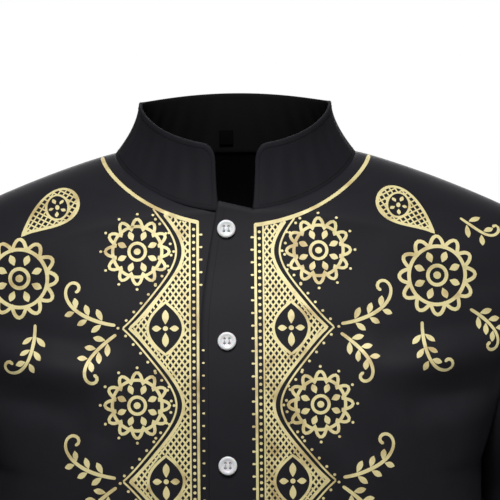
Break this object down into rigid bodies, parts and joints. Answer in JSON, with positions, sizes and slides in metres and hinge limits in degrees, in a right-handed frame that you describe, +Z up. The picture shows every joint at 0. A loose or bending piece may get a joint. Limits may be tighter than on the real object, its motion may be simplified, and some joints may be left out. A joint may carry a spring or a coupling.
{
  "type": "dashiki shirt",
  "caption": "Men's long-sleeved dashiki shirt with a stand collar and a buttoned front, hollow as worn, hanging from its shoulders with no wearer.",
  "frame": {"origin": "the middle of the neck's base, between the points where the collar meets the shoulder seams, where the shirt hangs on its wearer", "axes": "+Z up, the front faces -Y, +X towards the wearer's left"},
  "size_m": [0.6158, 0.2304, 0.769],
  "materials": {
    "cloth": "smooth black shirting with a slight sheen",
    "size_tab": "black woven tab",
    "button": "white resin",
    "gold_foil": "pale gold foil print"
  },
  "bodies": {
    "root": {"front_left": "cloth", "front_right": "cloth", "back": "cloth", "sleeve_left": "cloth", "sleeve_right": "cloth", "collar": "cloth", "cuff_left": "cloth", "cuff_right": "cloth", "size_tab": "size_tab", "cuff_button_left": "button", "cuff_button_right": "button", "button_1": "button", "button_2": "button", "button_3": "button", "button_4": "button", "button_5": "button", "button_6": "button", "button_7": "button"}
  },
  "joints": []
}
